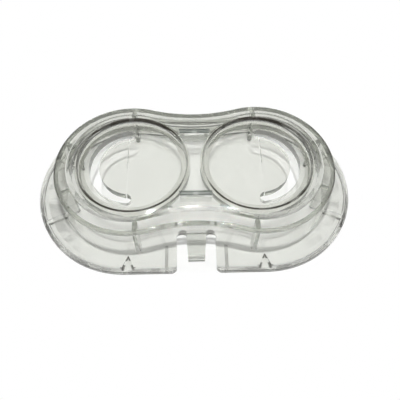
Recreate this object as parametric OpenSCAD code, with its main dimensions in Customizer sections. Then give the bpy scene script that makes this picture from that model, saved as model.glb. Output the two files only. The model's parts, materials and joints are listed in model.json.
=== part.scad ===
// Two-well contact lens case in clear plastic: a figure-eight wall on a wide flange, a raised deck
// with two round wells, slotted well floors with press leaves, and a snap latch in the front notch.
// Millimetres. +Z is up, +X runs from the left well to the right one and -Y is the latch side.
// The origin is on the table under the middle of the case.

/* [Rim outline] */
// Distance between the centres of the shell's two round ends
lobe_spacing = 27.3; // [25:0.1:30]
// Radius of the shell's round ends, at the rim
lobe_r = 15.8; // [15.4:0.1:17]
// Width of the shell across its waist, at the rim
waist_w = 27.7; // [26:0.1:29]
// Radius of the rounded edge of the rim
rim_round = 0.5; // [0.2:0.1:0.8]

/* [Shell] */
// Height of the whole case
case_h = 12.1; // [11:0.1:14]
// Thickness of the shell's side wall
wall_t = 0.95; // [0.7:0.05:1.2]
// How far the side wall leans out from the rim to the flange
wall_draft = 0.2; // [0:0.05:0.4]
// Thickness of the rim that turns in at the top of the side wall
rim_t = 0.9; // [0.7:0.05:1.2]

/* [Locating ribs] */
// Thickness of each rib, which has a bevelled inner end
rib_t = 1.0; // [0.7:0.05:1.4]
// Distance from the rim outline in to the ribs' inner edges
rib_reach = 3.06; // [2.6:0.02:3.2]
// Angle of the side ribs from the case's long axis
side_rib_angle = 24; // [16:1:40]
// Distance of the front ribs from the middle of the shell's round ends, towards the notch
front_rib_shift = 1.55; // [0:0.05:2]
// Angle of the rear ribs from the case's long axis
rear_rib_angle = 91.5; // [88:0.5:98]
// Height of the ribs' lower ends above the table
rib_foot = 1.0; // [0:0.1:1.2]

/* [Flange] */
// Distance between the centres of the flange's round ends
flange_spacing = 29.5; // [28:0.1:31]
// Radius of the flange's round ends, and half its depth from front to back
flange_r = 20; // [19:0.1:22]
// Height of the flange, from the table to its top
flange_h = 2.2; // [1.8:0.1:3]
// Thickness of the flange's plate
plate_t = 0.95; // [0.7:0.05:1.2]
// Thickness of the lip that turns down at the flange's edge
lip_t = 0.95; // [0.7:0.05:1.3]
// Radius of the flange's rounded upper edge
lip_round = 1.3; // [1:0.1:1.6]

/* [Notch and latch] */
// Width of the notch in the front of the flange
notch_w = 8.2; // [7.4:0.1:9.4]
// Height of the notch's top in the side wall
notch_h = 6.1; // [5.5:0.1:7]
// Radius of the rounded corners beside the notch
notch_corner_r = 1.2; // [0.6:0.1:2]
// Width of the latch between its two slits
latch_w = 4.0; // [3.4:0.1:4.6]
// Distance from the flange's front edge back to the latch's tip
latch_inset = 2.55; // [1.8:0.05:3.2]
// How much narrower the latch's tip is than its root
latch_taper = 0.5; // [0:0.1:1]
// Radius of the latch's rounded tip
latch_round = 0.6; // [0.2:0.1:0.8]
// Height of the latch's tip above the table
latch_clear = 0.3; // [0.2:0.1:0.6]

/* [Flange details] */
// Height of the gussets' lower edges above the table
gusset_foot = 0.4; // [0:0.1:0.7]
// Distance of the small gussets from the middle of the case
gusset_x = 6.25; // [5.8:0.05:8]
// Thickness of those gussets
gusset_t = 0.6; // [0.5:0.05:0.9]
// Distance of the snap wedges from the middle of the case
wedge_x = 14.2; // [12:0.1:15]
// Width of a snap wedge at the lip
wedge_w = 2.6; // [1.8:0.1:3]
// Length of a snap wedge
wedge_l = 2.7; // [2:0.1:3.2]

/* [Deck and wells] */
// Distance from the rim outline in to the deck's edge
deck_inset = 2.55; // [2.3:0.05:2.7]
// Height of the deck above the rim, and the depth of the wells
deck_rise = 1.4; // [1.2:0.05:1.8]
// Thickness of the deck's top
deck_t = 1.0; // [0.8:0.05:1.2]
// Radius of the deck's rounded edge
deck_round = 1.1; // [0.6:0.05:1.15]
// Thickness of the wall that steps down from the deck to the rim
step_t = 1.15; // [1:0.05:1.25]
// Distance between the centres of the two wells
well_spacing = 26; // [25.2:0.1:26.6]
// Width of the deck between its edge and the wells, at the round ends
well_land = 1.95; // [1.6:0.05:2.4]
// Thickness of the ring of wall round each well
ring_t = 0.85; // [0.75:0.05:1]
// Radius of the rounded mouth of each well
well_round = 0.25; // [0.1:0.05:0.3]
// Width of the cove round the foot of each well
cove_w = 1.2; // [0.8:0.1:1.4]
// Height of that cove
cove_h = 0.65; // [0.5:0.05:0.7]

/* [Well floors] */
// How far each floor reaches out under the deck round its well
floor_lap = 0.7; // [0.5:0.05:0.75]
// Thickness of each floor
floor_t = 1.7; // [1.2:0.05:2.2]
// Radius of each press leaf, inside the slot
leaf_r = 7.0; // [6:0.1:7.6]
// Width of the round slot about each press leaf
slot_w = 2.1; // [1.4:0.1:2.6]
// Distance from the well's centre out to the leaf's root and the slot's ends
root_x = 1.0; // [0.5:0.1:2.5]

/* [Bridge bars] */
// Distance of each bar from the line through the two wells
bar_y = 7.75; // [7.6:0.05:8.4]
// Length of each bar
bar_l = 6.4; // [5:0.1:6.8]
// Thickness of each bar
bar_t = 0.95; // [0.6:0.05:1.2]

/* [Fits] */
// Gap between pieces that lie face to face
seat_gap = 0.05; // [0.03:0.01:0.1]
// Gap round the bars in the deck's slots
slip_gap = 0.12; // [0.08:0.01:0.2]
// Gap at the root of each flexing leaf
root_gap = 0.1; // [0.08:0.01:0.14]

/* [Hidden] */
$fn = 96;
SHELL_TINT = [0.80, 0.82, 0.79, 0.45];
DECK_TINT = [0.88, 0.90, 0.87, 0.45];
FLOOR_TINT = [0.90, 0.91, 0.88, 0.45];
LATCH_TINT = [0.84, 0.86, 0.82, 0.60];
// Excess length of every cutter past the face that it goes through
cut = 1;

// The rim outline is two round ends joined by two hollow arcs that meet them smoothly, on the
// edges of a diamond whose corners are the centres of the four arcs
lobe_x = lobe_spacing / 2;
waist_dip = lobe_r - waist_w / 2;
waist_c = (lobe_x * lobe_x - waist_dip * waist_dip) / (2 * waist_dip);
waist_r = waist_c - waist_w / 2;

rim_z = case_h - deck_rise;
wall_top = rim_z - rim_t - seat_gap;
floor_z = rim_z - floor_t;
plate_z = flange_h - plate_t;
flange_x = flange_spacing / 2;
well_x = well_spacing / 2;
well_r = lobe_r - deck_inset - well_land;
floor_r = well_r + floor_lap;
slot_r = leaf_r + slot_w / 2;
slot_y = sqrt(slot_r * slot_r - root_x * root_x);
slit_w = (notch_w - latch_w) / 2;
slit_x = (notch_w - slit_w) / 2;

// The diamond that holds the rim's hollow arcs
module diamond() {
  polygon([[lobe_x, 0], [0, waist_c], [-lobe_x, 0], [0, -waist_c]]);
}

// The diamond as a block that is taller than the case
module diamond_block() {
  translate([0, 0, -cut]) linear_extrude(case_h + 2 * cut) diamond();
}

// Sweeps a section round the rim outline. In the section, x is the distance outwards from the
// outline and y is the height.
module round_the_rim() {
  difference() {
    for (side = [0, 1]) mirror([side, 0, 0]) translate([lobe_x, 0, 0])
      rotate_extrude() translate([lobe_r, 0]) children();
    diamond_block();
  }
  intersection() {
    for (side = [0, 1]) mirror([0, side, 0]) translate([0, waist_c, 0])
      rotate_extrude() translate([waist_r, 0]) mirror([1, 0]) children();
    diamond_block();
  }
}

// Sweeps a section round the flange's outline, which has straight sides
module round_the_flange() {
  for (side = [0, 1]) {
    mirror([side, 0, 0]) translate([flange_x, 0, 0]) rotate([0, 0, -90])
      rotate_extrude(angle = 180) translate([flange_r, 0]) children();
    mirror([0, side, 0]) translate([flange_x, flange_r, 0]) rotate([90, 0, -90])
      linear_extrude(flange_spacing) mirror([1, 0]) children();
  }
}

// The rim outline as a flat shape, moved out by d
module rim_shape(d) {
  difference() {
    union() {
      for (side = [-1, 1]) translate([side * lobe_x, 0]) circle(r = lobe_r + d);
      diamond();
    }
    for (side = [-1, 1]) translate([0, side * waist_c]) circle(r = waist_r - d);
  }
}

// The flange's outline as a flat shape, moved out by d
module flange_shape(d) {
  for (side = [-1, 1]) translate([side * flange_x, 0]) circle(r = flange_r + d);
  square([flange_spacing, 2 * (flange_r + d)], center = true);
}

// What a rounding of radius r takes off an upper right corner at the section's origin
module corner_cut(r) {
  translate([-r, -r]) difference() {
    square(r + cut);
    circle(r = r, $fn = 48);
  }
}

// Section of the side wall, leaning out from under the rim to the flange's plate
module wall_section() {
  polygon([[-wall_t, wall_top], [0, wall_top], [wall_draft, plate_z], [wall_draft - wall_t, plate_z]]);
}

// Section of the flange's lip, rounded alike inside and out, with enough of its plate to join the
// rest
module lip_section() {
  inner_round = lip_round - lip_t;
  difference() {
    union() {
      translate([-lip_t, 0]) square([lip_t, flange_h]);
      translate([-lip_t - lip_round, plate_z]) square([lip_t + lip_round, plate_t]);
      translate([-lip_t - inner_round, plate_z - inner_round]) square(2 * inner_round);
    }
    translate([0, flange_h]) corner_cut(lip_round);
    translate([-lip_t - inner_round, plate_z - inner_round]) circle(r = inner_round, $fn = 24);
  }
}

// An upright web that runs out from a lobe's centre at an angle, between two distances, with a
// bevelled inner end. It reaches from one height to another, front is -1 or 1, shift moves it
// sideways towards the case's middle, and it is made for both lobes.
module lobe_web(front, angle, near, far, foot, top, shift = 0) {
  for (side = [0, 1]) mirror([side, 0, 0]) translate([lobe_x, 0, 0]) rotate([0, 0, front * angle])
    translate([0, front * shift, foot]) linear_extrude(top - foot)
      polygon([[near, -rib_t / 5], [near + rib_t / 3, -rib_t / 2], [far, -rib_t / 2],
               [far, rib_t / 2], [near + rib_t / 3, rib_t / 2], [near, rib_t / 5]]);
}

// Upright ribs inside the side wall, which carry the rim with it
module locating_ribs() {
  near = lobe_r - rib_reach;
  far = lobe_r - wall_t / 2;
  for (front = [-1, 1]) lobe_web(front, side_rib_angle, near, far, rib_foot, wall_top);
  lobe_web(-1, 90, near, far, rib_foot, wall_top, front_rib_shift);
  lobe_web(1, rear_rib_angle, near, far, rib_foot, wall_top);
}

// Webs under the flange's plate that carry the side ribs on out to the lip
module side_gussets() {
  intersection() {
    for (front = [-1, 1]) lobe_web(front, side_rib_angle, lobe_r - wall_t / 2,
                                   lobe_r + flange_r, gusset_foot, plate_z + plate_t / 2);
    linear_extrude(flange_h) flange_shape(-lip_t / 2);
  }
}

// Small gussets under the flange's plate, each side of the notch
module notch_gussets() {
  for (side = [-1, 1])
    translate([side * gusset_x - gusset_t / 2, -flange_r + lip_t / 2, gusset_foot])
      cube([gusset_t, flange_r - lip_t / 2 - waist_w / 2 - wall_draft / 2,
            plate_z + plate_t / 2 - gusset_foot]);
}

// Small wedges inside the lip that snap behind whatever the flange is pressed over. Their lower
// faces rise to the flange's plate at their points.
module snap_wedges() {
  root = lip_t / 2;
  top = plate_z + plate_t / 2;
  for (side = [-1, 1]) translate([side * wedge_x, root - flange_r, 0]) intersection() {
    linear_extrude(top)
      polygon([[-wedge_w / 2, 0], [wedge_w / 2, 0], [wedge_w / 2, root],
               [0, root + wedge_l], [-wedge_w / 2, root]]);
    rotate([90, 0, 90]) linear_extrude(wedge_w, center = true)
      polygon([[0, plate_z / 3], [root, plate_z / 3], [root + wedge_l, plate_z],
               [root + wedge_l, top], [0, top]]);
  }
}

// The window that the notch opens in the flange and the foot of the side wall, seen from the front
module notch_window() {
  square_h = notch_h - slit_w / 2;
  translate([-notch_w / 2, -cut]) square([notch_w, square_h + cut]);
  translate([-slit_x, square_h]) square([2 * slit_x, slit_w / 2]);
  for (side = [-1, 1]) translate([side * slit_x, square_h]) circle(d = slit_w);
}

// Carries a shape seen from the front through the front of the case, from y = -far to y = -near
module from_front(near, far) {
  translate([0, -near, 0]) rotate([90, 0, 0]) linear_extrude(far - near) children();
}

// The whole notch, with the lip's corners rounded beside it
module notch() {
  from_front(waist_w / 2 - 2 * wall_t, flange_r + cut) notch_window();
  for (side = [0, 1]) mirror([side, 0, 0]) translate([notch_w / 2, -flange_r, -cut])
    rotate([0, 0, 180]) linear_extrude(flange_h + 2 * cut) corner_cut(notch_corner_r);
}

module outer_shell() {
  color(SHELL_TINT) difference() {
    union() {
      round_the_rim() wall_section();
      round_the_flange() lip_section();
      translate([0, 0, plate_z]) linear_extrude(plate_t) difference() {
        flange_shape(-lip_t * 1.5);
        rim_shape(wall_draft - wall_t / 2);
      }
      locating_ribs();
      side_gussets();
      notch_gussets();
      snap_wedges();
    }
    notch();
  }
}

// Section of the rim and the stepped edge of the deck, measured from the rim outline
module deck_edge_section() {
  step_x = -deck_inset - step_t;
  difference() {
    union() {
      translate([step_x, rim_z - rim_t]) square([-step_x, rim_t]);
      translate([step_x, rim_z - rim_t]) square([step_t, rim_t + deck_rise]);
      translate([step_x - deck_round, case_h - deck_t]) square([deck_round + step_t, deck_t]);
    }
    translate([0, rim_z]) corner_cut(rim_round);
    translate([-deck_inset, case_h]) corner_cut(deck_round);
  }
}

// Section of one well's opening through the deck, from its rounded mouth down over the cove to the
// floor. In the section, x is the distance from the well's axis.
module well_section() {
  foot_r = well_r - cove_w;
  cove_top = rim_z + 2 * seat_gap + cove_h;
  translate([0, rim_z - cut]) square([foot_r, deck_rise + 2 * cut]);
  translate([foot_r, cove_top]) scale([cove_w, cove_h]) circle(r = 1, $fn = 64);
  translate([foot_r, cove_top]) square([cove_w, case_h + cut - cove_top]);
  translate([well_r - cut, case_h - well_round]) difference() {
    square([cut + well_round, cut + well_round]);
    translate([cut + well_round, 0]) circle(r = well_round, $fn = 32);
  }
}

// Plan of a bridge bar, or of its slot when grown by a gap
module bar_plan(gap) {
  square([bar_l + 2 * gap, bar_t + 2 * gap], center = true);
}

module deck_plate() {
  color(DECK_TINT) difference() {
    union() {
      round_the_rim() deck_edge_section();
      translate([0, 0, case_h - deck_t]) linear_extrude(deck_t) rim_shape(-deck_inset - deck_round);
      for (side = [-1, 1]) translate([side * well_x, 0, rim_z + seat_gap])
        cylinder(r = well_r + ring_t, h = deck_rise - seat_gap - deck_t / 2);
    }
    for (side = [-1, 1]) {
      translate([side * well_x, 0, 0]) rotate_extrude() well_section();
      translate([0, side * bar_y, 0]) linear_extrude(case_h + cut) bar_plan(slip_gap);
    }
  }
}

// The part of a round plan that lies further out than x = near from the well's axis. side is 1 for
// the right well.
module outer_part(r, near, side) {
  intersection() {
    circle(r = r);
    translate([side * (near + r / 2), 0]) square([r, 2 * (r + cut)], center = true);
  }
}

// The opening that the slot and the press leaf take up in a floor
module slot_plan(side) {
  outer_part(leaf_r + slot_w, root_x, side);
  for (end = [-1, 1]) translate([side * root_x, end * slot_y]) circle(d = slot_w);
}

module well_floor(side) {
  color(FLOOR_TINT) translate([side * well_x, 0, floor_z]) difference() {
    cylinder(r = floor_r, h = floor_t);
    translate([0, 0, -cut]) linear_extrude(floor_t + 2 * cut) slot_plan(side);
  }
}

module press_leaf(side) {
  color(FLOOR_TINT) translate([side * well_x, 0, floor_z]) linear_extrude(floor_t)
    outer_part(leaf_r, root_x + root_gap, side);
}

module left_well_floor() { well_floor(-1); }
module right_well_floor() { well_floor(1); }
module left_press_leaf() { press_leaf(-1); }
module right_press_leaf() { press_leaf(1); }

module bridge_bar(side) {
  color(DECK_TINT) translate([0, side * bar_y, floor_z]) linear_extrude(case_h - floor_z) bar_plan(0);
}

module rear_bridge_bar() { bridge_bar(1); }
module front_bridge_bar() { bridge_bar(-1); }

// Outline of the latch's upright part seen from the front, flaring into its root
module latch_front_plan() {
  root_h = notch_h - root_gap;
  difference() {
    translate([-slit_x, 0]) square([2 * slit_x, root_h]);
    for (side = [-1, 1]) translate([side * slit_x, notch_h - slit_w / 2]) circle(d = slit_w);
    for (side = [0, 1]) mirror([side, 0]) translate([latch_w / 2, -cut])
      square([slit_w + cut, notch_h - slit_w / 2 + cut]);
  }
}

// Plan of the latch's foot, which narrows towards its tip
module latch_foot_plan() {
  wall_y = waist_w / 2 - wall_t / 2;
  tip_y = flange_r - latch_inset;
  polygon([[-latch_w / 2, -wall_y], [-(latch_w - latch_taper) / 2, -tip_y],
           [(latch_w - latch_taper) / 2, -tip_y], [latch_w / 2, -wall_y]]);
}

// Section of the latch's foot seen from the side, with its tip turned down into a hook.
// In the section, x is the distance from the case's middle to the front.
module latch_foot_section() {
  tip = flange_r - latch_inset;
  difference() {
    union() {
      translate([0, plate_z]) square([tip, plate_t]);
      translate([tip - lip_t, latch_clear]) square([lip_t, flange_h - latch_clear]);
    }
    translate([tip, flange_h]) corner_cut(latch_round);
  }
}

module front_latch() {
  color(LATCH_TINT) union() {
    intersection() {
      round_the_rim() wall_section();
      from_front(0, flange_r) latch_front_plan();
    }
    intersection() {
      linear_extrude(flange_h) latch_foot_plan();
      translate([latch_w, 0, 0]) rotate([90, 0, -90]) linear_extrude(2 * latch_w) latch_foot_section();
    }
  }
}

outer_shell();
deck_plate();
left_well_floor();
right_well_floor();
left_press_leaf();
right_press_leaf();
rear_bridge_bar();
front_bridge_bar();
front_latch();
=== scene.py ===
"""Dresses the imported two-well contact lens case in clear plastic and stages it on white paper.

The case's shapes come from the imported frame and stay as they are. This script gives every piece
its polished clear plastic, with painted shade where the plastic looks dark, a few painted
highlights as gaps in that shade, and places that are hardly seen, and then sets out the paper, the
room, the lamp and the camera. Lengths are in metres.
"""

import json
import logging
from dataclasses import dataclass
from enum import Enum
from typing import Any, Dict, List, Optional, Sequence, Tuple, Union

import bpy
from mathutils import Matrix, Vector

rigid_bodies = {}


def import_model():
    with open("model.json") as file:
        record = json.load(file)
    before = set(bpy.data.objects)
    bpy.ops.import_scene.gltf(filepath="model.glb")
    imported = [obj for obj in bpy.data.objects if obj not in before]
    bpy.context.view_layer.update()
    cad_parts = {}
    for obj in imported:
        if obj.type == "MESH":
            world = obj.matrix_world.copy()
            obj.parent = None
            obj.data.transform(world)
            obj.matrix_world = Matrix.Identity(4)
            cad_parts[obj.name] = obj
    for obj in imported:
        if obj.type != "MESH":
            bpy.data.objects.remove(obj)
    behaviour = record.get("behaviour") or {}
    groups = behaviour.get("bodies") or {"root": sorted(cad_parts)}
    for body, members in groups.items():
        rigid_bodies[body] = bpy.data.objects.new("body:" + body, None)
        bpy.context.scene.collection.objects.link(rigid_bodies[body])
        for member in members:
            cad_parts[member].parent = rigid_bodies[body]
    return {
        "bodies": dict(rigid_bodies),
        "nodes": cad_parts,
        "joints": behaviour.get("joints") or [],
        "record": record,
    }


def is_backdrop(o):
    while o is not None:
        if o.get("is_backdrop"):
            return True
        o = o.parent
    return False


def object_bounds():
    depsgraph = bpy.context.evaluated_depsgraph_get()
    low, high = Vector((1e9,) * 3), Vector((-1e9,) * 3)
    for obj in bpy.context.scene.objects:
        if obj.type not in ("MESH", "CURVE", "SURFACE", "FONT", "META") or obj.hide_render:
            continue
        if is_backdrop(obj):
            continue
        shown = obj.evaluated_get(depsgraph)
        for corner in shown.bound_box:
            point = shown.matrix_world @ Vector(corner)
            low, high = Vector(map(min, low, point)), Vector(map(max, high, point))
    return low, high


Colour = Tuple[float, float, float]
Point = Tuple[float, float, float]
Span = Tuple[float, float]
Operand = Union["Wire", int, float]

LOG = logging.getLogger("lens_case")

# Distances of upright axes from the case's middle: of a well, of a round end and of the lip's end.
WELL_X = 0.0130
LOBE_X = 0.01365
LIP_X = 0.01475

# Height of the underside of the flange's plate, and where a bar's sides end and its top begins.
PLATE_UNDERSIDE = 0.00118
BAR_TOP: Span = (0.01195, 0.01205)

# Widths of the soft edges that most places have across their outline and under a height.
HAIR = 0.0001
FINE_HAIR = 0.00002

WHITE = (1.0, 1.0, 1.0, 1.0)
LIGHT_BOUNCES = 32


class Side(Enum):
    """The case's two halves, seen from the latch, as the nodes' names spell them."""

    LEFT = "left"
    RIGHT = "right"


@dataclass
class Wire:
    """An output socket that takes part in Python sums by adding Math nodes to its bench.

    Attributes:
        bench: The bench that the socket's node is on.
        socket: The socket.
    """

    bench: "Bench"
    socket: bpy.types.NodeSocket

    def _sum(self, operation: str, first: Operand, second: Operand) -> "Wire":
        """Adds one Math node over two operands."""
        return self.bench.add("ShaderNodeMath", {"operation": operation}, {0: first, 1: second})

    def side(self, name: str) -> "Wire":
        """Another output of the same node."""
        return Wire(self.bench, self.socket.node.outputs[name])

    def __add__(self, other: Operand) -> "Wire":
        """Wire + other."""
        return self._sum("ADD", self, other)

    def __radd__(self, other: Operand) -> "Wire":
        """Other + wire."""
        return self._sum("ADD", other, self)

    def __sub__(self, other: Operand) -> "Wire":
        """Wire - other."""
        return self._sum("SUBTRACT", self, other)

    def __rsub__(self, other: Operand) -> "Wire":
        """Other - wire."""
        return self._sum("SUBTRACT", other, self)

    def __mul__(self, other: Operand) -> "Wire":
        """Wire * other."""
        return self._sum("MULTIPLY", self, other)

    def __rmul__(self, other: Operand) -> "Wire":
        """Other * wire."""
        return self._sum("MULTIPLY", other, self)

    def __truediv__(self, other: Operand) -> "Wire":
        """Wire / other."""
        return self._sum("DIVIDE", self, other)

    def __pow__(self, other: Operand) -> "Wire":
        """Wire ** other."""
        return self._sum("POWER", self, other)

    def __abs__(self) -> "Wire":
        """The wire without its sign."""
        return self._sum("ABSOLUTE", self, 0.0)

    def at_most(self, other: Operand) -> "Wire":
        """The smaller of the wire and other."""
        return self._sum("MINIMUM", self, other)

    def at_least(self, other: Operand) -> "Wire":
        """The larger of the wire and other."""
        return self._sum("MAXIMUM", self, other)

    def diagonal(self, other: "Wire") -> "Wire":
        """The diagonal of a rectangle whose sides are the wire and other."""
        return (self * self + other * other) ** 0.5

    def ramp(self, low: float, high: float) -> "Wire":
        """A smooth step from 0 where the wire is low to 1 where it is high.

        Args:
            low: The value that gives 0.
            high: The value that gives 1, which may lie below low.

        Returns:
            The smooth step.
        """
        return self.bench.add(
            "ShaderNodeMapRange",
            {"interpolation_type": "SMOOTHSTEP", "clamp": True},
            {"Value": self, "From Min": low, "From Max": high, "To Min": 0.0, "To Max": 1.0},
        )

    def under(self, high: float, soft: float) -> "Wire":
        """1 up to a value and 0 from a soft edge above it."""
        return self.ramp(high + soft, high)

    def within(self, low: float, high: float) -> "Wire":
        """1 between two values and 0 from a soft edge outside them."""
        return self.ramp(low - HAIR, low) * self.under(high, HAIR)


class Bench:
    """A node tree, cleared, with one way to add a node to it."""

    def __init__(self, tree: bpy.types.NodeTree) -> None:
        """Clears the tree and keeps it.

        Args:
            tree: The node tree of a material or a world.
        """
        self.tree = tree
        self.tree.nodes.clear()

    def add(
        self,
        kind: str,
        settings: Optional[Dict[str, Any]] = None,
        feeds: Optional[Dict[Union[int, str], Any]] = None,
        out: Union[int, str] = 0,
    ) -> Wire:
        """Adds a node, first with its settings and then with what its sockets take.

        Args:
            kind: The node's type.
            settings: The node's own attributes by name.
            feeds: A value or a wire for each input socket, by name or number.
            out: The output that the returned wire stands for.

        Returns:
            A wire of that output, or of the node's first input when it has no output.
        """
        node = self.tree.nodes.new(kind)
        for name, value in (settings or {}).items():
            setattr(node, name, value)
        for name, value in (feeds or {}).items():
            if isinstance(value, Wire):
                self.tree.links.new(value.socket, node.inputs[name])
            else:
                node.inputs[name].default_value = value
        return Wire(self, node.outputs[out] if len(node.outputs) else node.inputs[0])

    def mix(self, share: Wire, first: Wire, second: Wire) -> Wire:
        """Two shaders mixed: the first where share is 0, the second where it is 1."""
        return self.add("ShaderNodeMixShader", feeds={0: share, 1: first, 2: second})

    def place(self) -> Wire:
        """The point's coordinates on its object, split, as the wire of X."""
        spot = self.add("ShaderNodeTexCoord", out="Object")
        return self.add("ShaderNodeSeparateXYZ", feeds={0: spot})

    def noise(self, scale: float, detail: float, distortion: float = 0.0) -> Wire:
        """Noise on the object's coordinates.

        Args:
            scale: How fine it is.
            detail: How many finer layers it has.
            distortion: How far it is drawn out of shape.

        Returns:
            The noise, from 0 to 1.
        """
        spot = self.add("ShaderNodeTexCoord", out="Object")
        feeds = {"Vector": spot, "Scale": scale, "Detail": detail, "Distortion": distortion}
        return self.add("ShaderNodeTexNoise", feeds=feeds)

    def from_axis(self, axis_x: float) -> Wire:
        """The point's distance from the nearer of two upright axes, axis_x from the middle."""
        x = self.place()
        return (abs(x) - axis_x).diagonal(x.side("Y"))

    def from_spine(self) -> Wire:
        """The point's distance from the straight line between the axes of the lip's ends."""
        x = self.place()
        return (abs(x) - LIP_X).at_least(0.0).diagonal(x.side("Y"))


@dataclass(frozen=True)
class Place:
    """A place on a piece, told by its coordinates: most take painted shade, and the rest change
    the finish.

    Attributes:
        share: How strong the change is at its strongest.
    """

    share: float

    def mask(self, bench: Bench) -> Wire:
        """How much of the change each point takes.

        Args:
            bench: The material's node tree.

        Returns:
            The mask, from 0 to the place's share.
        """
        raise NotImplementedError


@dataclass(frozen=True)
class RingShade(Place):
    """Painted shade on the wall and mouth round each well: a dark band at the far side, weaker at
    the sides and in lighter spots.

    Attributes:
        share: How dark the painted shade is where it is strongest.
        inner: Least distance from the well's axis.
        outer: Greatest distance from the well's axis.
        spread: How much wider the ring is at the near side.
        near: Where it begins to widen, and where it is widest.
        foot: Height where the ring begins at the far side.
        rise: How much higher it begins at the sides.
        behind: Where that rise begins and is full, coming from the far side.
        ahead: Where it begins and is full, coming from the near side.
        soft: Width of its soft edges.
        side_share: How much of the painted shade is left at the sides.
        side_fade: Where, away from the sides, the painted shade begins to grow back, and where it
            is full.
        lighter_spots: How much of the painted shade the lighter spots lose.
        lighter_spot_range: The noise that begins a lighter spot, and the noise at its middle.
        grain: How fine the lighter spots are.
    """

    share: float = 0.95
    inner: float = 0.01118
    outer: float = 0.01160
    spread: float = 0.00026
    near: Span = (-0.003, -0.009)
    foot: float = 0.01130
    rise: float = 0.00062
    behind: Span = (0.0098, 0.0070)
    ahead: Span = (-0.004, 0.0)
    soft: float = 0.00006
    side_share: float = 0.40
    side_fade: Span = (0.002, 0.0085)
    lighter_spots: float = 0.30
    lighter_spot_range: Span = (0.50, 0.68)
    grain: float = 260.0

    def mask(self, bench: Bench) -> Wire:
        """How much painted shade each point of a ring takes.

        Args:
            bench: The material's node tree.

        Returns:
            The mask, from 0 to the ring's share.
        """
        r, x = bench.from_axis(WELL_X), bench.place()
        y, z = x.side("Y"), x.side("Z")
        rim = self.outer + self.spread * y.ramp(*self.near)
        wall = r.ramp(self.inner - self.soft, self.inner) * (rim - r).ramp(0.0, self.soft)
        low = self.foot + self.rise * y.ramp(*self.behind) * y.ramp(*self.ahead)
        # Painted shade, weaker at the sides and broken by lighter spots of noise.
        lighter_spots = self.lighter_spots * bench.noise(self.grain, detail=2.0).ramp(*self.lighter_spot_range)
        shade_strength = self.side_share + (1.0 - self.side_share) * abs(y).ramp(*self.side_fade) - lighter_spots
        return wall * (z - low).ramp(-self.soft, 0.0) * shade_strength * self.share


@dataclass(frozen=True)
class SlitTopShade(Place):
    """The round tops of the two slits beside the latch, with painted shade on them and a spot of
    painted shade over each, standing in for the shaded inside seen through a slit's top.

    Attributes:
        share: How dark the painted shade on the tops is.
        x: Distance of a slit's middle from the case's middle.
        z: Height of the middle of its round top.
        radius: Radius of the round top.
        spring: Where the top begins, from the height of its middle.
        soft: Width of the top's soft edges.
        spot_share: How dark the painted shade spots are.
        spot_x: Distance of a spot's middle from the case's middle.
        spot_rise: How far the middle of the spot lies above the middle of the top.
        spot_wide: Half of the spot's width.
        spot_tall: Half of the spot's height.
        spot_edge: Where the spot begins and where it is full, as shares of those halves.
        front: Where the front wall's outer face begins.
    """

    share: float = 0.55
    x: float = 0.00305
    z: float = 0.00505
    radius: float = 0.00105
    spring: Span = (-0.0002, 0.0002)
    soft: float = 0.00015
    spot_share: float = 0.60
    spot_x: float = 0.00280
    spot_rise: float = 0.00205
    spot_wide: float = 0.00098
    spot_tall: float = 0.00130
    spot_edge: Span = (1.1, 0.6)
    front: Span = (-0.0120, -0.0125)

    def mask(self, bench: Bench) -> Wire:
        """How much painted shade each point takes on a slit's round top or its spot, on outer
        faces.

        Args:
            bench: The material's node tree.

        Returns:
            The mask, from 0 to the larger share.
        """
        x = bench.place()
        across, above = abs(x) - self.x, x.side("Z") - self.z
        off = abs(across.diagonal(above) - self.radius)
        arch = off.ramp(self.soft, self.soft / 3) * above.ramp(*self.spring) * self.share
        wide = (abs(x) - self.spot_x) / self.spot_wide
        tall = (above - self.spot_rise) / self.spot_tall
        spot = wide.diagonal(tall).ramp(*self.spot_edge) * self.spot_share
        outside = 1.0 - bench.add("ShaderNodeNewGeometry", out="Backfacing")
        # Painted shade on the round tops and on the spots above them.
        return arch.at_least(spot) * outside * x.side("Y").ramp(*self.front)


@dataclass(frozen=True)
class WedgeShade(Place):
    """The faces of the two snap wedges inside the lip, with painted shade on them, darker along
    their edges and at the corners.

    Attributes:
        share: How dark the painted shade along the edges is.
        base: How dark the painted shade on the faces between them is.
        x: Distance of a wedge's middle from the case's middle.
        half: Half of a wedge's width at its wide end.
        near: Where its wide end lies.
        far: Where its point lies.
        under: Height under which its faces lie.
        under_soft: Width of the soft edge there.
        line: Width of an edge.
        gap: How far from the wide end each edge has a gap without painted shade.
        gap_edge: Half of the gap's width where it has no painted shade, and with its soft ends.
        tip: Where the edges begin and where they are full, coming from the point.
    """

    share: float = 0.85
    base: float = 0.10
    x: float = 0.0142
    half: float = 0.0012
    near: float = -0.0189
    far: float = -0.0162
    under: float = 0.0012
    under_soft: float = 0.00004
    line: float = 0.00052
    gap: float = 0.0010
    gap_edge: Span = (0.0003, 0.0005)
    tip: Span = (-0.0163, -0.0166)

    def mask(self, bench: Bench) -> Wire:
        """How much painted shade each point of a wedge's faces and edges takes.

        Args:
            bench: The material's node tree.

        Returns:
            The mask, from 0 to the edges' share.
        """
        x = bench.place()
        y, z = x.side("Y"), x.side("Z")
        taper = (self.half / (self.far - self.near)) * (self.far - y)
        off = abs(abs(abs(x) - self.x) - taper)
        broken = abs(y - (self.near + self.gap)).ramp(*self.gap_edge) * y.ramp(*self.tip)
        edge = off.ramp(self.line, self.line / 2) * broken
        # Painted shade, darker along the edges than on the faces.
        painted_shade = self.base + edge * (self.share - self.base)
        return y.within(self.near, self.far) * z.under(self.under, self.under_soft) * painted_shade


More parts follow.
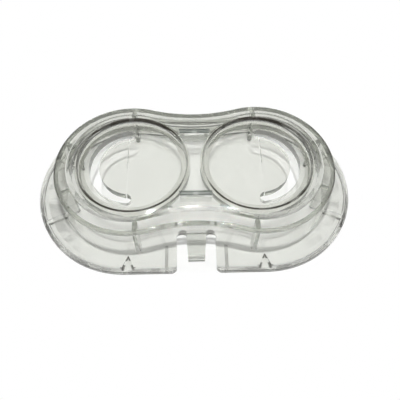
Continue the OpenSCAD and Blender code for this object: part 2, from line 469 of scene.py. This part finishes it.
@dataclass(frozen=True)
class RimShade(Place):
    """The outer edge of the rim at the case's two ends, darkened with painted shade.

    Attributes:
        share: How dark the painted shade is.
        edge: Distance from a round end's axis where it begins.
        ends: Distances from the case's middle where it begins and where it is full.
    """

    share: float = 0.48
    edge: float = 0.01540
    ends: Span = (0.0235, 0.0265)

    def mask(self, bench: Bench) -> Wire:
        """How much painted shade each point of the rim's edge at an end takes.

        Args:
            bench: The material's node tree.

        Returns:
            The mask, from 0 to the edge's share.
        """
        # Painted shade on the rim's outer edge at the two ends.
        ring = bench.from_axis(LOBE_X).ramp(self.edge, self.edge + HAIR)
        return ring * abs(bench.place()).ramp(*self.ends) * self.share


@dataclass(frozen=True)
class BarShade(Place):
    """The tops of the two bars, darkened with painted shade, with less of it in the middle as a
    painted highlight.

    Attributes:
        share: How dark the painted shade is along their edges.
        core: How dark it is along their middle line.
        y: Distance of the bars' middle lines from the case's long axis.
        edge: Distances from the middle line where the edge begins and where it is full.
        mid_highlight_share: How much of that shade is left at the painted highlight in the middle.
        mid_highlight: Distances from the case's middle where the painted highlight ends and where
            all the shade is back.
    """

    share: float = 0.84
    core: float = 0.55
    y: float = 0.00775
    edge: Span = (0.00008, 0.00040)
    mid_highlight_share: float = 0.65
    mid_highlight: Span = (0.0002, 0.0008)

    def mask(self, bench: Bench) -> Wire:
        """How much painted shade each point of a bar's top takes.

        Args:
            bench: The material's node tree.

        Returns:
            The mask, from 0 to the tops' share.
        """
        x = bench.place()
        edge = abs(abs(x.side("Y")) - self.y).ramp(*self.edge)
        mid_highlight = self.mid_highlight_share + (1.0 - self.mid_highlight_share) * abs(x).ramp(*self.mid_highlight)
        dull = self.core + (self.share - self.core) * edge
        # Painted shade on the tops, lighter in the middle as a painted highlight.
        return x.side("Z").ramp(*BAR_TOP) * mid_highlight * dull


@dataclass(frozen=True)
class LipShade(Place):
    """The inner face of the lip that turns down round the flange, with painted shade that is
    partly in streaks.

    Attributes:
        share: How dark the painted shade is.
        inset: Distance of the face from the line between the axes of the lip's ends.
        soft: Width of its soft edges.
        foot: Heights where it begins and where it is full, downwards.
        front: Where it begins and where it is full, coming from the rear.
        even: How much of the painted shade is even, the rest being in streaks.
        streak_range: The noise that begins a streak, and the noise at its middle.
        grain: How fine the streaks are.
    """

    share: float = 0.45
    inset: float = 0.01905
    soft: float = 0.00008
    foot: Span = (0.0011, 0.0008)
    front: Span = (-0.001, -0.007)
    even: float = 0.25
    streak_range: Span = (0.42, 0.58)
    grain: float = 210.0

    def mask(self, bench: Bench) -> Wire:
        """How much painted shade each point of the lip's inner face takes.

        Args:
            bench: The material's node tree.

        Returns:
            The mask, from 0 to the face's share.
        """
        x = bench.place()
        off = abs(bench.from_spine() - self.inset).ramp(self.soft * 2, self.soft)
        low = x.side("Z").ramp(*self.foot) * x.side("Y").ramp(*self.front)
        streaks = bench.noise(self.grain, detail=1.0).ramp(*self.streak_range)
        # Painted shade, partly even and partly in streaks.
        return off * low * (self.even + (1.0 - self.even) * streaks) * self.share


@dataclass(frozen=True)
class NotchGussetShade(Place):
    """The small gussets each side of the notch, darkened with painted shade.

    Attributes:
        share: How dark the painted shade is.
        x: Distance of a gusset's middle from the case's middle.
        half: Half of its thickness.
        near: Where the gussets end at the lip.
        far: Where they end at the front wall.
    """

    share: float = 0.33
    x: float = 0.00625
    half: float = 0.00031
    near: float = -0.0190
    far: float = -0.0134

    def mask(self, bench: Bench) -> Wire:
        """How much painted shade each point of a small gusset takes.

        Args:
            bench: The material's node tree.

        Returns:
            The mask, from 0 to the gussets' share.
        """
        x = bench.place()
        across = abs(abs(x) - self.x).under(self.half, FINE_HAIR)
        along = x.side("Y").within(self.near, self.far)
        # Painted shade on the small gussets.
        return across * along * x.side("Z").under(PLATE_UNDERSIDE, FINE_HAIR) * self.share


@dataclass(frozen=True)
class FlangeShadeStreaks(Place):
    """Streaks of painted shade in the flange at the case's two ends, where the flange looks
    mottled grey.

    Attributes:
        share: How dark the painted shade streaks are.
        inner: Where they begin in full, from a round end's axis.
        outer: Where they end, from that axis.
        top: Height of the flange's top, with a little to spare.
        soft: Width of the soft edges outwards and upwards.
        soft_in: Width of the soft edge inwards.
        ends: Distances from the case's middle where they begin and where they are full.
        streak_range: The noise that begins a streak, and the noise at its middle.
        grain: How fine they are.
        detail: How many finer layers they have.
        drawn: How far they are drawn out of shape.
    """

    share: float = 0.16
    inner: float = 0.0162
    outer: float = 0.0188
    top: float = 0.0024
    soft: float = 0.0002
    soft_in: float = 0.0003
    ends: Span = (0.021, 0.028)
    streak_range: Span = (0.44, 0.60)
    grain: float = 150.0
    detail: float = 3.0
    drawn: float = 1.5

    def mask(self, bench: Bench) -> Wire:
        """How much painted shade each point of a streak takes.

        Args:
            bench: The material's node tree.

        Returns:
            The mask, from 0 to the streaks' share.
        """
        r, x = bench.from_axis(LOBE_X), bench.place()
        # Mild painted shade in streaks of noise.
        streak_noise = bench.noise(self.grain, self.detail, self.drawn).ramp(*self.streak_range)
        plate = r.ramp(self.inner - self.soft_in, self.inner) * r.under(self.outer, self.soft)
        low = x.side("Z").under(self.top, self.soft)
        return plate * low * abs(x).ramp(*self.ends) * streak_noise * self.share


@dataclass(frozen=True)
class ThinEdge(Place):
    """The thin rounded edges of the deck on the near side, which hardly bend what is behind.

    Attributes:
        share: How much of the bending they lose.
        rim: Height of the rim's flat top.
        top: Height of the deck's flat top.
        skin: How far off a flat top the change begins and is full.
        near: Where the change begins and where it is full, coming from the rear.
        well: Distance from a well's axis inside which nothing changes.
    """

    share: float = 0.30
    rim: float = 0.0107
    top: float = 0.0121
    skin: Span = (0.00001, 0.00003)
    near: Span = (-0.004, -0.007)
    well: float = 0.0119

    def mask(self, bench: Bench) -> Wire:
        """How much of each point lies on a thin edge.

        Args:
            bench: The material's node tree.

        Returns:
            The mask, from 0 to the edges' share.
        """
        x = bench.place()
        z = x.side("Z")
        below = z.ramp(*(self.top - skin for skin in self.skin))
        outside = bench.from_axis(WELL_X).ramp(self.well, self.well + HAIR)
        edge = abs(z - self.rim).ramp(*self.skin) * below
        return edge * x.side("Y").ramp(*self.near) * outside * self.share


@dataclass(frozen=True)
class SideGusset(Place):
    """The webs under the flange's plate at the case's two ends, which hardly bend what is behind.

    Attributes:
        share: How much of the bending they lose.
        inner: Where the webs begin, from a round end's axis.
        outer: Where they end.
        ends: Distances outwards from that axis where the change begins and where it is full.
    """

    share: float = 0.55
    inner: float = 0.0164
    outer: float = 0.0190
    ends: Span = (0.010, 0.011)

    def mask(self, bench: Bench) -> Wire:
        """How much of each point lies on such a web.

        Args:
            bench: The material's node tree.

        Returns:
            The mask, from 0 to the webs' share.
        """
        x = bench.place()
        ring = bench.from_axis(LOBE_X).within(self.inner, self.outer)
        low = x.side("Z").under(PLATE_UNDERSIDE, FINE_HAIR)
        return ring * (abs(x) - LOBE_X).ramp(*self.ends) * low * self.share


@dataclass(frozen=True)
class BarSides(Place):
    """The sides of the two bars, which hardly bend what is behind.

    Attributes:
        share: How much of the bending they lose.
    """

    share: float = 0.65

    def mask(self, bench: Bench) -> Wire:
        """How much of each point lies below a bar's top, from 0 to the sides' share."""
        return bench.place().side("Z").ramp(*reversed(BAR_TOP)) * self.share


@dataclass(frozen=True)
class FlexRoot(Place):
    """The two facing ends at a press leaf's root, where the plastic runs on unbroken.

    Attributes:
        share: How much of the bending they lose.
        x: Distance of the gap's middle from the case's middle.
        half: Half of the gap's width, with a little to spare.
        soft: Width of the soft edge there.
        reach: How far the root reaches each side of the case's long axis.
    """

    share: float = 1.0
    x: float = 0.01405
    half: float = 0.000052
    soft: float = 0.000004
    reach: float = 0.0069

    def mask(self, bench: Bench) -> Wire:
        """How much of each point lies on the ends at a leaf's root.

        Args:
            bench: The material's node tree.

        Returns:
            The mask, from 0 to the ends' share.
        """
        x = bench.place()
        ends = abs(abs(x) - self.x).under(self.half, self.soft)
        return ends * abs(x.side("Y")).under(self.reach, HAIR) * self.share


@dataclass(frozen=True)
class ClearPlastic:
    """Polished clear plastic with a faint tint in its depth, and painted shade on some places.

    Attributes:
        name: The material's name.
        tint: What a face lets through.
        painted_shade: The places where shade is painted on as a dark, dull coat, some with lighter
            gaps that serve as painted highlights.
        thin: The place that hardly bends what is behind, where the piece has one.
        depth: How strongly the depth absorbs, per metre.
        depth_tint: Colour of the plastic in its depth.
        ior: How strongly the plastic bends light.
        polish: Roughness of the polished faces.
        scuff: Roughness that fine scuffing adds.
        scuff_range: The noise that begins a scuff, and the noise at its middle.
        scuff_grain: How fine the scuffs are.
        ripple: Strength of the slow waves left by moulding.
        ripple_depth: Depth of those waves.
        ripple_grain: How fine they are.
        shade_colour: Colour of the painted shade, near black.
        shade_roughness: Roughness of the painted shade.
        shade_gloss: Specular level of the painted shade, where 0.5 is full.
        thin_tint: What the thin place lets through.
        lamp_tint: What a face lets through of a lamp's light.
        lamp_slope: How quickly a face stops letting lamps through as it tilts.
    """

    name: str
    tint: Colour
    painted_shade: Tuple[Place, ...] = ()
    thin: Optional[Place] = None
    depth: float = 45.0
    depth_tint: Colour = (0.55, 0.60, 0.51)
    ior: float = 1.5
    polish: float = 0.012
    scuff: float = 0.03
    scuff_range: Span = (0.55, 0.75)
    scuff_grain: float = 900.0
    ripple: float = 0.05
    ripple_depth: float = 0.0005
    ripple_grain: float = 170.0
    # Near-black colour of the painted shade.
    shade_colour: Colour = (0.030, 0.025, 0.018)
    shade_roughness: float = 0.35
    shade_gloss: float = 0.25
    thin_tint: Colour = (0.968, 0.968, 0.962)
    lamp_tint: Colour = (0.955, 0.96, 0.95)
    lamp_slope: float = 2.2

    def surface(self, bench: Bench) -> Wire:
        """The plastic's own face: clear, with fine scuffing and slow moulding waves.

        Args:
            bench: The material's node tree.

        Returns:
            The shader.
        """
        waves = bench.noise(self.ripple_grain, detail=1.0)
        scuffs = bench.noise(self.scuff_grain, detail=3.0).ramp(*self.scuff_range)
        bump = {"Strength": self.ripple, "Distance": self.ripple_depth, "Height": waves}
        return bench.add(
            "ShaderNodeBsdfPrincipled",
            feeds={
                "Base Color": (*self.tint, 1.0),
                "Roughness": self.polish + scuffs * self.scuff,
                "IOR": self.ior,
                "Transmission Weight": 1.0,
                "Normal": bench.add("ShaderNodeBump", feeds=bump),
            },
        )

    def paint_shade(self, bench: Bench, surface: Wire) -> Wire:
        """Lays the painted shade over the surface.

        Args:
            bench: The material's node tree.
            surface: The polished shader.

        Returns:
            The shader with those places.
        """
        # Painted shade: a near-black, dull coat that each place's mask mixes in.
        shade_coat = bench.add(
            "ShaderNodeBsdfPrincipled",
            feeds={
                "Base Color": (*self.shade_colour, 1.0),
                "Roughness": self.shade_roughness,
                "Specular IOR Level": self.shade_gloss,
            },
        )
        for place in self.painted_shade:
            surface = bench.mix(place.mask(bench), surface, shade_coat)
        return surface

    def let_lamps_through(self, bench: Bench, surface: Wire) -> Wire:
        """Lets lamp rays and paper-lit rays straight through faces that lie across them.

        Args:
            bench: The material's node tree.
            surface: The shader as the camera sees it.

        Returns:
            The shader whose flat faces cast hardly any shadow and whose steep ones do.
        """
        ray = bench.add("ShaderNodeLightPath", out="Is Shadow Ray")
        rays = ray.at_least(ray.side("Is Diffuse Ray"))
        tilt = bench.add("ShaderNodeLayerWeight", feeds={"Blend": 0.5}, out="Facing")
        clear = bench.add("ShaderNodeBsdfTransparent", feeds={0: (*self.lamp_tint, 1.0)})
        return bench.mix(rays * (1.0 - (tilt * self.lamp_slope).at_most(1.0)), surface, clear)

    def thin_out(self, bench: Bench, surface: Wire, thin: Place) -> Wire:
        """Makes a place see-through, as far as it hardly bends what is behind.

        Args:
            bench: The material's node tree.
            surface: The shader so far.
            thin: The place.

        Returns:
            The shader with that place.
        """
        unbent = bench.add("ShaderNodeBsdfTransparent", feeds={0: (*self.thin_tint, 1.0)})
        return bench.mix(thin.mask(bench), surface, unbent)

    def make(self) -> bpy.types.Material:
        """Builds the material.

        Returns:
            The material.
        """
        material = bpy.data.materials.new(self.name)
        material.use_nodes = True
        bench = Bench(material.node_tree)
        surface = self.let_lamps_through(bench, self.paint_shade(bench, self.surface(bench)))
        if self.thin:
            surface = self.thin_out(bench, surface, self.thin)
        depth = bench.add(
            "ShaderNodeVolumeAbsorption",
            feeds={"Color": (*self.depth_tint, 1.0), "Density": self.depth},
        )
        bench.add("ShaderNodeOutputMaterial", feeds={"Surface": surface, "Volume": depth})
        return material


@dataclass
class SubAssembly:
    """Some of the case's pieces that share a finish.

    Attributes:
        nodes: The pieces' names in the frame.
        finish: Their plastic.
    """

    nodes: Sequence[str]
    finish: ClearPlastic

    def dress(self, frame: Dict[str, Any]) -> None:
        """Gives each of the pieces the finish.
        """
        material = self.finish.make()
        for name in self.nodes:
            node = frame["nodes"][name]
            node.data.materials.clear()
            node.data.materials.append(material)
            LOG.info("%s: %s", name, material.name)


@dataclass
class Paper:
    """The white sheet that the case lies on.

    Attributes:
        radius: Radius of the sheet.
        corners: How many corners its round edge has.
        drop: How far it lies below the case.
        shade: The paper's own colour.
        glow: How much of plain white is mixed in beside the case.
        edge: Distance from the line between the axes of the lip's ends where it turns white.
        fade: Width of that turn.
    """

    radius: float = 0.60
    corners: int = 128
    drop: float = 0.00002
    shade: Colour = (0.90, 0.90, 0.895)
    glow: float = 0.18
    edge: float = 0.0190
    fade: float = 0.0014

    def lay(self) -> None:
        """Makes the sheet and its finish."""
        Workshop.deselect()
        bpy.ops.mesh.primitive_circle_add(
            vertices=self.corners,
            radius=self.radius,
            fill_type="NGON",
            location=(0.0, 0.0, -self.drop),
        )
        sheet = bpy.context.active_object
        sheet.name = "paper_sheet"
        bpy.ops.object.transform_apply(location=True)
        sheet.data.materials.append(self.finish())
        sheet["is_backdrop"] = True
        LOG.info("%s: %s", sheet.name, sheet.data.materials[0].name)

    def finish(self) -> bpy.types.Material:
        """White paper that keeps the case's shadow and fades to plain white further out.

        Returns:
            The material.
        """
        material = bpy.data.materials.new("white_paper")
        material.use_nodes = True
        bench = Bench(material.node_tree)
        far = bench.from_spine().ramp(self.edge, self.edge + self.fade)
        ray = bench.add("ShaderNodeLightPath", out="Is Camera Ray")
        seen = ray.at_least(ray.side("Is Glossy Ray")).at_least(ray.side("Is Transmission Ray"))
        share = self.glow + (1.0 - self.glow) * far
        plain = bench.add("ShaderNodeBsdfDiffuse", feeds={"Color": (*self.shade, 1.0)})
        white = bench.add("ShaderNodeEmission", feeds={"Color": WHITE})
        mixed = bench.mix(seen * share, plain, white)
        bench.add("ShaderNodeOutputMaterial", feeds={"Surface": mixed})
        return material


@dataclass
class Room:
    """The room round the table: a window wall in front, dim walls behind and a pale ceiling.

    Attributes:
        walls: How bright the walls are.
        window: How much brighter the window wall is.
        ceiling: How bright the ceiling is.
        window_turn: Where the window wall begins and is full, along the case's short axis.
        window_rise: Where it begins and is full, upwards.
        walls_rise: Where the walls end and the ceiling is full, upwards.
        backdrop: How high the white backdrop seen through the plastic ends and is full.
    """

    walls: float = 0.10
    window: float = 0.60
    ceiling: float = 0.35
    window_turn: Span = (0.1, -0.7)
    window_rise: Span = (-0.1, 0.2)
    walls_rise: Span = (0.0, 1.0)
    backdrop: Span = (0.12, 0.05)

    def build(self) -> None:
        """Makes the world."""
        world = bpy.data.worlds.new("room")
        bpy.context.scene.world = world
        world.use_nodes = True
        bench = Bench(world.node_tree)
        way = bench.add("ShaderNodeTexCoord", out="Generated")
        x = bench.add("ShaderNodeSeparateXYZ", feeds={0: way})
        y, z = x.side("Y"), x.side("Z")
        window = self.window * y.ramp(*self.window_turn) * z.ramp(*self.window_rise)
        light = self.walls + (self.ceiling - self.walls) * z.ramp(*self.walls_rise) + window
        ray = bench.add("ShaderNodeLightPath", out="Is Camera Ray")
        seen = ray.at_least(ray.side("Is Transmission Ray") * z.ramp(*self.backdrop))
        dim = bench.add("ShaderNodeBackground", feeds={"Strength": light})
        white = bench.add("ShaderNodeBackground", feeds={"Color": WHITE})
        bench.add("ShaderNodeOutputWorld", feeds={"Surface": bench.mix(seen, dim, white)})


@dataclass
class Lamp:
    """A round soft lamp that faces the case.

    Attributes:
        name: The lamp's name.
        place: Where it hangs.
        width: Its diameter.
        watts: Its power.
        target: The point that it faces.
    """

    name: str
    place: Point
    width: float
    watts: float
    target: Point = (0.0, 0.0, 0.0)

    def hang(self) -> None:
        """Makes the lamp and turns it to its target."""
        data = bpy.data.lights.new(self.name, "AREA")
        data.shape = "DISK"
        data.size = self.width
        data.energy = self.watts
        lamp = bpy.data.objects.new(self.name, data)
        bpy.context.scene.collection.objects.link(lamp)
        lamp.location = self.place
        aim = Vector(self.target) - Vector(self.place)
        lamp.rotation_euler = aim.to_track_quat("-Z", "Y").to_euler()


@dataclass
class Camera:
    """The camera, above and in front of the latch.

    Attributes:
        place: Where it stands.
        right: The way to its right.
        up: The way to its top.
        view: The way that it looks.
        lens: Its focal length, in millimetres.
        sensor: Width of its sensor, in millimetres.
        nearest: Distance under which it sees nothing.
    """

    place: Point = (-0.001184, -0.055511, 0.092267)
    right: Point = (0.99962, -0.02594, 0.009754)
    up: Point = (0.01762, 0.86643, 0.49898)
    view: Point = (0.021395, 0.49861, -0.86656)
    lens: float = 42.3
    sensor: float = 36.0
    nearest: float = 0.001

    def set_up(self) -> None:
        """Makes the camera and gives it to the scene."""
        data = bpy.data.cameras.new("camera")
        data.lens = self.lens
        data.sensor_width = self.sensor
        data.clip_start = self.nearest
        camera = bpy.data.objects.new("camera", data)
        bpy.context.scene.collection.objects.link(camera)
        axes = (Vector(self.right), Vector(self.up), -Vector(self.view))
        turned = Matrix(axes).transposed().to_4x4()
        turned.translation = Vector(self.place)
        camera.matrix_world = turned
        bpy.context.scene.camera = camera


class Workshop:
    """Small jobs that serve the whole scene."""

    @staticmethod
    def deselect() -> None:
        """Deselects every object."""
        for item in bpy.context.selected_objects:
            item.select_set(False)

    @staticmethod
    def corners(bounds: Any) -> List[List[float]]:
        """The lowest and highest corners as plain lists of numbers."""
        return [[float(v) for v in corner] for corner in bounds]

    @staticmethod
    def light_rules() -> None:
        """Lets light cross and mirror inside the plastic as often as it does in a real case."""
        scene = bpy.context.scene
        scene.view_settings.view_transform = "Standard"
        scene.cycles.max_bounces = LIGHT_BOUNCES
        scene.cycles.glossy_bounces = LIGHT_BOUNCES
        scene.cycles.transmission_bounces = LIGHT_BOUNCES


def sub_assemblies() -> List[SubAssembly]:
    """The case's sub-assemblies with their finishes.

    Returns:
        The sub-assemblies, from the shell inwards.
    """
    # The tints differ from piece to piece, though all is one clear plastic: the shell's, the bars'
    # and the latch's darker tints, and the bars' deeper absorption, are painted shade for how dark
    # those pieces look.
    shell = ClearPlastic(
        "polished_shell",
        tint=(0.825, 0.828, 0.805),
        painted_shade=(SlitTopShade(), WedgeShade(), LipShade(), NotchGussetShade(), FlangeShadeStreaks()),
        thin=SideGusset(),
    )
    deck = ClearPlastic(
        "polished_deck",
        tint=(0.905, 0.907, 0.885),
        painted_shade=(RingShade(), RimShade()),
        thin=ThinEdge(),
    )
    bars = ClearPlastic(
        "pressed_bar",
        tint=(0.82, 0.86, 0.83),
        painted_shade=(BarShade(),),
        thin=BarSides(),
        depth=95.0,
        # Dark green-grey colour of the bars' painted shade.
        shade_colour=(0.07, 0.085, 0.075),
    )
    floor = ClearPlastic("polished_floor", tint=(0.880, 0.881, 0.855), thin=FlexRoot())
    # Painted shade: the latch's tint is much darker than the rest of the plastic.
    latch = ClearPlastic("latch_plastic", tint=(0.70, 0.71, 0.68), painted_shade=(SlitTopShade(),))
    return [
        SubAssembly(["outer_shell"], shell),
        SubAssembly(["deck_plate"], deck),
        SubAssembly(["rear_bridge_bar", "front_bridge_bar"], bars),
        SubAssembly([f"{side.value}_well_floor" for side in Side], floor),
        SubAssembly([f"{side.value}_press_leaf" for side in Side], floor),
        SubAssembly(["front_latch"], latch),
    ]


def main() -> None:
    """Loads the frame, dresses the case and sets out the stage."""
    logging.basicConfig(level=logging.INFO, format="%(name)s: %(message)s")
    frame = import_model()
    cad_box = Workshop.corners(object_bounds())
    Workshop.deselect()
    for part in sub_assemblies():
        part.dress(frame)
    Paper().lay()
    Room().build()
    Lamp("flash", place=(0.0, -0.032, 0.160), width=0.005, watts=0.18).hang()
    Camera().set_up()
    Workshop.light_rules()
    {"cad": cad_box, "visual": Workshop.corners(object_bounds())}


if __name__ == "__main__":
    main()
